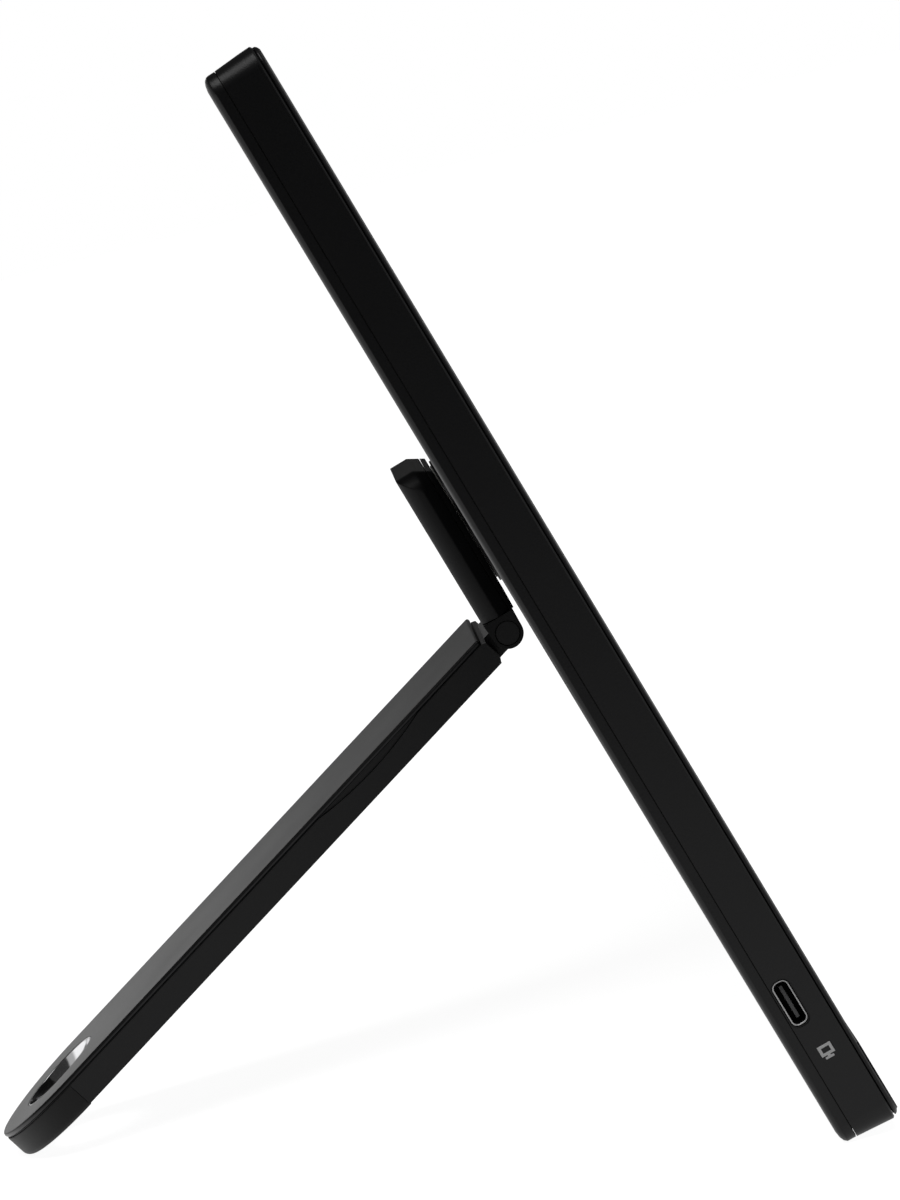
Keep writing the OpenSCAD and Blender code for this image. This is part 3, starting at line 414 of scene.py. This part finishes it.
def row_of_blocks():
    """Geometry group: a row of equal blocks along a line, made real and given a material."""
    name = "Row of Blocks"
    if name in bpy.data.node_groups:
        return bpy.data.node_groups[name]
    group = bpy.data.node_groups.new(name, "GeometryNodeTree")
    group.is_modifier = True
    add_socket(group, "Count", "NodeSocketInt", 12)
    add_socket(group, "Start", "NodeSocketVector")
    add_socket(group, "Step", "NodeSocketVector", (0.0, 0.0, 0.0005))
    add_socket(group, "Block Size", "NodeSocketVector", (0.003, 0.00004, 0.00025))
    add_socket(group, "Tilt", "NodeSocketFloat", 0.0)
    add_socket(group, "Material", "NodeSocketMaterial")
    add_socket(group, "Geometry", "NodeSocketGeometry", output=True)
    tree = Tree(group)
    given = tree.node("NodeGroupInput").outputs
    line = tree.node("GeometryNodeMeshLine", {
        "Count": given["Count"], "Start Location": given["Start"], "Offset": given["Step"],
    }, mode="OFFSET")
    block = tree.node("GeometryNodeMeshCube", {"Size": given["Block Size"]})
    turn = tree.node("ShaderNodeCombineXYZ", {"X": given["Tilt"]})
    copies = tree.node("GeometryNodeInstanceOnPoints", {
        "Points": line.outputs["Mesh"], "Instance": block.outputs["Mesh"],
        "Rotation": turn.outputs["Vector"]})
    real = tree.node("GeometryNodeRealizeInstances",
                     {"Geometry": copies.outputs["Instances"]})
    paint = tree.node("GeometryNodeSetMaterial", {
        "Geometry": real.outputs["Geometry"], "Material": given["Material"]})
    tree.node("NodeGroupOutput", {"Geometry": paint.outputs["Geometry"]})
    return group


def blocks(name, kind, **values):
    """A plain mesh made by the row of blocks with the given inputs."""
    values["Material"] = finish_of(kind)
    piece = new_piece(name, bmesh.new(), values["Material"])
    row = piece.modifiers.new("Row", "NODES")
    row.node_group = row_of_blocks()
    for item in row.node_group.interface.items_tree:
        if item.in_out == "INPUT" and item.name in values:
            row[item.identifier] = values[item.name]
    evaluated(piece)
    if not piece.data.polygons:
        raise RuntimeError(f"{name} came out empty")
    return piece


def joined(name, parts):
    """One piece out of several, keeping the first one's material."""
    bm = bmesh.new()
    for part in parts:
        bm.from_mesh(part.data)
    material = parts[0].data.materials[0]
    for part in parts:
        bpy.data.objects.remove(part)
    return new_piece(name, bm, material)


def dress(kind, *names):
    """Gives a finish to CAD nodes that keep their shape."""
    for name in names:
        node = NODES[name]
        if not node.material_slots:
            node.data.materials.append(None)
        for slot in node.material_slots:
            slot.material = finish_of(kind)


# ---------------------------------------------------------------- operators

class MonitorPiece:
    """What the operators share"""
    bl_options = {"REGISTER", "UNDO"}


class MONITOR_OT_housing(MonitorPiece, bpy.types.Operator):
    """Builds the side frame, the rear cover and the front bezel with softened edges"""
    bl_idname = "monitor.housing"
    bl_label = "Housing"

    def execute(self, context):
        look = context.scene.monitor_finish
        for node, kind, share, slot in (
                ("side_frame", "housing", HOUSING_SHARE, "housing_plastic"),
                ("rear_cover", "housing", HOUSING_SHARE, "housing_plastic"),
                ("front_bezel", "bezel", BEZEL_SHARE, "bezel_plastic")):
            piece = softened(node, node + "_moulded", kind, look.edge * share,
                             look.bevel_steps)
            place(piece, "screen", node, slot=slot)
        return {"FINISHED"}


class MONITOR_OT_display(MonitorPiece, bpy.types.Operator):
    """Gives the display its dark matt front and the layers behind it their films"""
    bl_idname = "monitor.display"
    bl_label = "Display"

    def execute(self, context):
        dress("display", "display_glass")
        dress("film", "optical_sheets", "light_guide", "reflector_sheet")
        dress("ribbon", "led_strip")
        dress("steel", "panel_tray")
        return {"FINISHED"}


class MONITOR_OT_ports(MonitorPiece, bpy.types.Operator):
    """Builds the connectors with their rolled metal rims and the contacts on their tongues; paints shade on their
    faces deep in the openings
    """
    bl_idname = "monitor.ports"
    bl_label = "Connectors"

    def execute(self, context):
        # Each part's faces deeper than the given depth take a near-black finish as painted shade
        for node, suffix, kind, rim, shade_kind, depth, slot in (
                ("port_shells", "_rolled", "port", RIM, "port_painted_shade", RIM_DEPTH, "port_steel"),
                ("video_port", "_rolled", "port", FINE_RIM, "port_painted_shade", RIM_DEPTH,
                 "port_steel"),
                # The tongue is grey near its front; its deeper faces take the socket black as painted shade
                ("port_tongues", "_moulded", "tongue", FINE_RIM, "socket", TONGUE_DEPTH,
                 "port_plastic")):
            piece = softened(node, node + suffix, kind, *rim)
            # Painted shade on the faces deep in the opening
            self.paint_deep_shade(piece, node, shade_kind, depth)
            place(piece, "screen", node, slot=slot)
        look = context.scene.monitor_finish
        rows = [self.contacts(look, side, face) for side in (-1, 1) for face in (-1, 1)]
        place(joined("port_contacts", rows), "screen", slot="port_steel")
        return {"FINISHED"}

    @staticmethod
    def paint_deep_shade(piece, node, kind, depth):
        """Paints shade: gives the faces that lie more than `depth` mm behind a node's front a dark finish."""
        piece.data.materials.append(finish_of(kind))
        reach = in_frame(BACK, node)[1].x * MM
        for face in piece.data.polygons:
            if abs(face.center.x) < reach - depth * MM:
                face.material_index = 1

    @staticmethod
    def contacts(look, side, face):
        """One row of contacts on one face of the tongue of one of the two connectors."""
        low, high = in_frame(BACK, "port_tongues")
        middle = (low + high) / 2
        pitch = look.contact_pitch / MM
        first = Vector((side * (high.x - CONTACT_FROM_TIP), middle.y + face * CONTACT_LIFT,
                        middle.z - pitch * (look.contacts - 1) / 2))
        return blocks(f"contacts_{side}_{face}", "contact", **{
            "Count": look.contacts, "Start": BACK @ first,
            "Step": BACK.to_3x3() @ Vector((0, 0, pitch)),
            "Block Size": Vector(CONTACT_SIZE) * MM, "Tilt": TILT})


class MONITOR_OT_marks(MonitorPiece, bpy.types.Operator):
    """Prints a small screen pictogram beside the left connector"""
    bl_idname = "monitor.marks"
    bl_label = "Printed Mark"

    def execute(self, context):
        low, high = in_frame(BACK, "port_shells")
        middle = (low + high) / 2
        across = sorted({end for bar in MARK_BARS for end in bar[:2]})
        upwards = sorted({end for bar in MARK_BARS for end in bar[2:]})
        inked = [(i, j) for i, (left, right) in enumerate(zip(across, across[1:]))
                 for j, (under, over) in enumerate(zip(upwards, upwards[1:]))
                 if any(bar[0] <= left and right <= bar[1] and bar[2] <= under
                        and over <= bar[3] for bar in MARK_BARS)]
        bm = bmesh.new()
        corners = {}

        def corner(layer, i, j):
            if (layer, i, j) not in corners:
                y = middle.y + MARK_AT[0] + across[i]
                z = middle.z + MARK_AT[1] + upwards[j]
                x = self.wall(y) + MARK_LAYERS[layer]
                corners[layer, i, j] = bm.verts.new(BACK @ Vector((x, y, z)))
            return corners[layer, i, j]

        for i, j in inked:
            square = ((i, j), (i + 1, j), (i + 1, j + 1), (i, j + 1))
            for layer in (0, 1):
                bm.faces.new([corner(layer, *at) for at in square])
            neighbours = ((i, j - 1), (i + 1, j), (i, j + 1), (i - 1, j))
            for start, end, neighbour in zip(square, square[1:] + square[:1], neighbours):
                if neighbour not in inked:
                    bm.faces.new((corner(0, *start), corner(0, *end), corner(1, *end),
                                  corner(1, *start)))
        bmesh.ops.recalc_face_normals(bm, faces=bm.faces)
        place(new_piece("connector_mark", bm, finish_of("mark")), "screen",
              slot="housing_plastic")
        return {"FINISHED"}

    @staticmethod
    def wall(y):
        """Where the left wall of the side frame lies at depth y."""
        low, high = in_frame(BACK, "side_frame")
        start = low.y + WALL_START
        return low.x + WALL_LEAN * (y - start) / (high.y - start)


class MONITOR_OT_buttons(MonitorPiece, bpy.types.Operator):
    """Builds the three side buttons with rounded rims"""
    bl_idname = "monitor.buttons"
    bl_label = "Buttons"

    def execute(self, context):
        for name in ("power_button", "down_button", "up_button"):
            place(softened(name, name + "_cap", "button", *CAP_RIM), name, name,
                  slot="button_plastic")
        return {"FINISHED"}


class MONITOR_OT_swivel(MonitorPiece, bpy.types.Operator):
    """Dresses the swivel's washers, shaft, nut and steel brace"""
    bl_idname = "monitor.swivel"
    bl_label = "Swivel"

    def execute(self, context):
        dress("glide", "glide_washer")
        dress("steel", "swivel_shaft", "friction_washers", "swivel_nut", "swivel_brace")
        return {"FINISHED"}


class MONITOR_OT_plate(MonitorPiece, bpy.types.Operator):
    """Builds the stand's upper plate and its outer cover"""
    bl_idname = "monitor.plate"
    bl_label = "Stand Plate"

    def execute(self, context):
        look = context.scene.monitor_finish
        for node in ("plate_shell", "plate_cover"):
            place(softened(node, node + "_moulded", "plate", look.edge, look.bevel_steps),
                  "stand", node, slot="stand_plastic")
        return {"FINISHED"}


class MONITOR_OT_hinge(MonitorPiece, bpy.types.Operator):
    """Builds the round caps of the hinge pin and dresses the pin and its sleeve"""
    bl_idname = "monitor.hinge"
    bl_label = "Hinge"

    def execute(self, context):
        place(softened("pin_caps", "pin_caps_moulded", "stand", *CAP_RIM), "stand", "pin_caps",
              slot="stand_plastic")
        dress("steel", "hinge_pin", "hinge_sleeve")
        return {"FINISHED"}


class MONITOR_OT_leg(MonitorPiece, bpy.types.Operator):
    """Builds the leg's shell and cover, and the liner of its hanging hole"""
    bl_idname = "monitor.leg"
    bl_label = "Leg"

    def execute(self, context):
        look = context.scene.monitor_finish
        place(softened("leg_shell", "leg_shell_moulded", "stand", look.edge, look.bevel_steps),
              "leg", "leg_shell", slot="stand_plastic")
        low, high = in_frame(LEG, "hole_liner")
        middle = (low + high) / 2

        def share(point):
            """Finer edges round the hole than along the sides."""
            away = LEG.inverted() @ point - middle
            return HOLE_SHARE if math.hypot(away.x, away.z) < high.x + HOLE_MARGIN else 1.0

        place(softened("leg_cover", "leg_cover_moulded", "stand", look.cover_edge, COVER_STEPS,
                       share), "leg", "leg_cover", slot="stand_plastic")
        place(self.liner(low, high), "leg", "hole_liner", slot="liner_steel")
        dress("steel", "leg_core")
        return {"FINISHED"}

    @staticmethod
    def liner(low, high):
        """The flared liner of the hanging hole, turned from its profile with a rolled lip."""
        middle = (low + high) / 2
        back = LEG.inverted()
        places = [back @ v.co - middle for v in NODES["hole_liner"].data.vertices]
        rings = [(math.hypot(p.x, p.z), p.y + middle.y) for p in places]
        throat = min(r for r, y in rings)
        mouth = min(r for r, y in rings if y > high.y - SAME_PLACE)
        flare = max(y for r, y in rings if r < throat + SAME_PLACE)
        lip = (high.x - mouth) / 2
        under_lip = high.y - lip
        profile = [(throat, low.y), (throat, flare)]
        for step in (k / FLARE_STEPS for k in range(1, FLARE_STEPS + 1)):
            profile.append((throat + (mouth - throat) * step ** FLARE_CURVE,
                            flare + (under_lip - flare) * step))
        for turn in (LIP_TURN * k for k in range(1, LIP_POINTS + 1)):
            profile.append((mouth + lip - lip * math.cos(turn),
                            under_lip + lip * math.sin(turn)))
        profile += [(high.x, under_lip), (high.x, low.y)]
        bm = bmesh.new()
        turns = [math.tau * i / LINER_ROUND for i in range(LINER_ROUND)]
        circles = [[bm.verts.new(LEG @ Vector((middle.x + r * math.cos(turn), y,
                                               middle.z + r * math.sin(turn))))
                    for turn in turns] for r, y in profile]
        for inner, outer in zip(circles, circles[1:] + circles[:1]):
            for i in range(LINER_ROUND):
                j = (i + 1) % LINER_ROUND
                bm.faces.new((inner[i], inner[j], outer[j], outer[i]))
        bmesh.ops.recalc_face_normals(bm, faces=bm.faces)
        return new_piece("hole_liner_polished", bm, finish_of("liner"), SHARP_TURNED)


class MONITOR_OT_foot(MonitorPiece, bpy.types.Operator):
    """Builds the rubber foot round the leg's tip"""
    bl_idname = "monitor.foot"
    bl_label = "Foot"

    def execute(self, context):
        place(softened("foot_pad", "foot_pad_rubber", "rubber", *FOOT_RIM), "leg", "foot_pad",
              slot="foot_rubber")
        return {"FINISHED"}


class MONITOR_OT_insides(MonitorPiece, bpy.types.Operator):
    """Dresses the boards, cables, speakers and screws inside"""
    bl_idname = "monitor.insides"
    bl_label = "Insides"

    def execute(self, context):
        dress("board", "main_board", "side_board", "button_board", "panel_board")
        dress("ribbon", "board_link", "button_cable", "panel_cable")
        dress("flex", "panel_flexes")
        dress("socket", "speakers")
        dress("steel", "tray_screws", "board_screws", "brace_screws", "flange_screws",
              "leg_screws")
        return {"FINISHED"}


class MONITOR_OT_stage(MonitorPiece, bpy.types.Operator):
    """Sets up the floor, the light and the camera"""
    bl_idname = "monitor.stage"
    bl_label = "Stage"

    def execute(self, context):
        scene = context.scene
        stage = scene.monitor_stage
        self.floor(stage)
        self.world(scene, stage)
        self.lamp(scene, stage)
        self.camera(scene, stage)
        scene.view_settings.view_transform = "Standard"
        return {"FINISHED"}

    @staticmethod
    def seen(tree, rays):
        """1 for the camera's rays and for those that pass through glass."""
        return tree.maths("MAXIMUM", rays["Is Camera Ray"], rays["Is Transmission Ray"])

    @classmethod
    def floor(cls, stage):
        """A white floor; glossy surfaces see it fade out towards the camera."""
        material = bpy.data.materials.new("Studio Floor")
        material.use_nodes = True
        material.node_tree.nodes.clear()
        tree = Tree(material.node_tree)
        rays = tree.node("ShaderNodeLightPath").outputs
        at = tree.node("ShaderNodeTexCoord").outputs["Object"]
        away = tree.node("ShaderNodeVectorMath", {0: at}, operation="LENGTH").outputs["Value"]
        glow = tree.maths("MULTIPLY", cls.seen(tree, rays),
                          tree.eased(away, *GLOW_RISES, stage.floor_glow, 1.0))
        grey = (stage.floor, stage.floor, stage.floor, 1)
        paint = tree.node("ShaderNodeBsdfDiffuse", {"Color": grey})
        lit = tree.node("ShaderNodeAddShader", {
            0: paint.outputs[0],
            1: tree.node("ShaderNodeEmission", {"Strength": glow}).outputs[0]})
        from_spot = tree.node("ShaderNodeVectorMath", {0: at, 1: SPOT_AT},
                              operation="DISTANCE").outputs["Value"]
        shine = tree.maths("ADD",
                           tree.eased(tree.axes(at)["X"], *SHINE_FADES, 0.0, stage.floor_shine),
                           tree.eased(from_spot, *SPOT_FADES, stage.foot_shine, 0.0))
        mirrored = tree.node("ShaderNodeEmission", {"Strength": shine})
        mix = tree.node("ShaderNodeMixShader", {
            "Fac": rays["Is Glossy Ray"], 1: lit.outputs[0], 2: mirrored.outputs[0]})
        tree.node("ShaderNodeOutputMaterial", {"Surface": mix.outputs[0]})
        bm = bmesh.new()
        bmesh.ops.create_grid(bm, x_segments=1, y_segments=1, size=FLOOR_HALF)
        new_piece("studio_floor", bm, material)

    @classmethod
    def world(cls, scene, stage):
        """White to the camera; to the object dim, but for the sky beyond and before it."""
        scene.world = scene.world or bpy.data.worlds.new("Studio")
        scene.world.use_nodes = True
        scene.world.node_tree.nodes.clear()
        tree = Tree(scene.world.node_tree)
        way = tree.axes(tree.node("ShaderNodeTexCoord").outputs["Generated"])
        x, y, z = way["X"], way["Y"], way["Z"]
        steep = tree.maths("POWER", tree.eased(y, *FAR_LEAN_Y, kind="LINEAR"), FAR_LEAN_POWER)
        lean = tree.maths("MULTIPLY_ADD", steep, FAR_LEAN_GAIN, FAR_LEVEL)
        far = tree.maths("MULTIPLY", tree.eased(z, *FAR_UP_Z, stage.far_sky, 0.0),
                         tree.maths("MULTIPLY", lean, tree.eased(y, *FAR_EASES_Y)))
        weaker = tree.maths("MULTIPLY", tree.eased(x, *FRONT_ALONG_X),
                            tree.eased(z, *FRONT_UP_Z))
        front = tree.maths("MULTIPLY_ADD",
                           tree.eased(y, *FRONT_ALONG_Y, stage.front_sky, 0.0),
                           weaker, stage.near_sky)
        strength = tree.maths("MULTIPLY_ADD", tree.eased(x, *FAR_ALONG_X), far, front)
        white = (1, 1, 1, 1)
        light = tree.node("ShaderNodeBackground", {"Color": white, "Strength": strength})
        backdrop = tree.node("ShaderNodeBackground", {"Color": white})
        rays = tree.node("ShaderNodeLightPath").outputs
        mix = tree.node("ShaderNodeMixShader", {
            "Fac": cls.seen(tree, rays), 1: light.outputs[0], 2: backdrop.outputs[0]})
        tree.node("ShaderNodeOutputWorld", {"Surface": mix.outputs[0]})

    @staticmethod
    def lamp(scene, stage):
        """A wide, soft light above the camera's side of the object."""
        data = bpy.data.lights.new("Top Light", "AREA")
        data.shape = "RECTANGLE"
        data.size, data.size_y = LAMP_SIZE
        data.energy = stage.top_light
        lamp = bpy.data.objects.new("Top Light", data)
        scene.collection.objects.link(lamp)
        lamp.location = LAMP_AT
        way = Vector(LAMP_AIM) - Vector(LAMP_AT)
        lamp.rotation_euler = way.to_track_quat("-Z", "Y").to_euler()

    @staticmethod
    def camera(scene, stage):
        """A long lens, turned to the object's left side and rolled a little."""
        data = bpy.data.cameras.new("Camera")
        data.lens = stage.lens
        data.sensor_width = SENSOR_WIDTH
        data.clip_end = CLIP_END
        camera = bpy.data.objects.new("Camera", data)
        scene.collection.objects.link(camera)
        back = CAMERA_RIGHT.cross(CAMERA_UP)
        turn = Matrix((CAMERA_RIGHT, CAMERA_UP, back)).transposed().to_4x4()
        camera.matrix_world = Matrix.Translation(CAMERA_AT) @ turn
        scene.camera = camera


class MONITOR_PT_pieces(bpy.types.Panel):
    """Lists the monitor's pieces and its finish"""
    bl_idname = "MONITOR_PT_pieces"
    bl_label = "Portable Monitor"
    bl_space_type = "VIEW_3D"
    bl_region_type = "UI"
    bl_category = "Monitor"

    def draw(self, context):
        layout = self.layout
        for group in (context.scene.monitor_finish, context.scene.monitor_stage):
            box = layout.box()
            for name in group.bl_rna.properties.keys():
                if name not in ("rna_type", "name"):
                    box.prop(group, name)
        for operator in OPERATORS:
            layout.operator(operator.bl_idname)


OPERATORS = (
    MONITOR_OT_housing, MONITOR_OT_display, MONITOR_OT_ports, MONITOR_OT_marks,
    MONITOR_OT_buttons, MONITOR_OT_swivel, MONITOR_OT_plate, MONITOR_OT_hinge, MONITOR_OT_leg,
    MONITOR_OT_foot, MONITOR_OT_insides, MONITOR_OT_stage,
)
CLASSES = (MonitorFinish, MonitorStage, *OPERATORS, MONITOR_PT_pieces)


def register():
    for used in CLASSES:
        bpy.utils.register_class(used)
    bpy.types.Scene.monitor_finish = PointerProperty(type=MonitorFinish)
    bpy.types.Scene.monitor_stage = PointerProperty(type=MonitorStage)


def unregister():
    del bpy.types.Scene.monitor_stage
    del bpy.types.Scene.monitor_finish
    for used in reversed(CLASSES):
        bpy.utils.unregister_class(used)


def main():
    register()
    for operator in OPERATORS:
        area, name = operator.bl_idname.split(".")
        getattr(getattr(bpy.ops, area), name)()


if __name__ == "__main__":
    main()
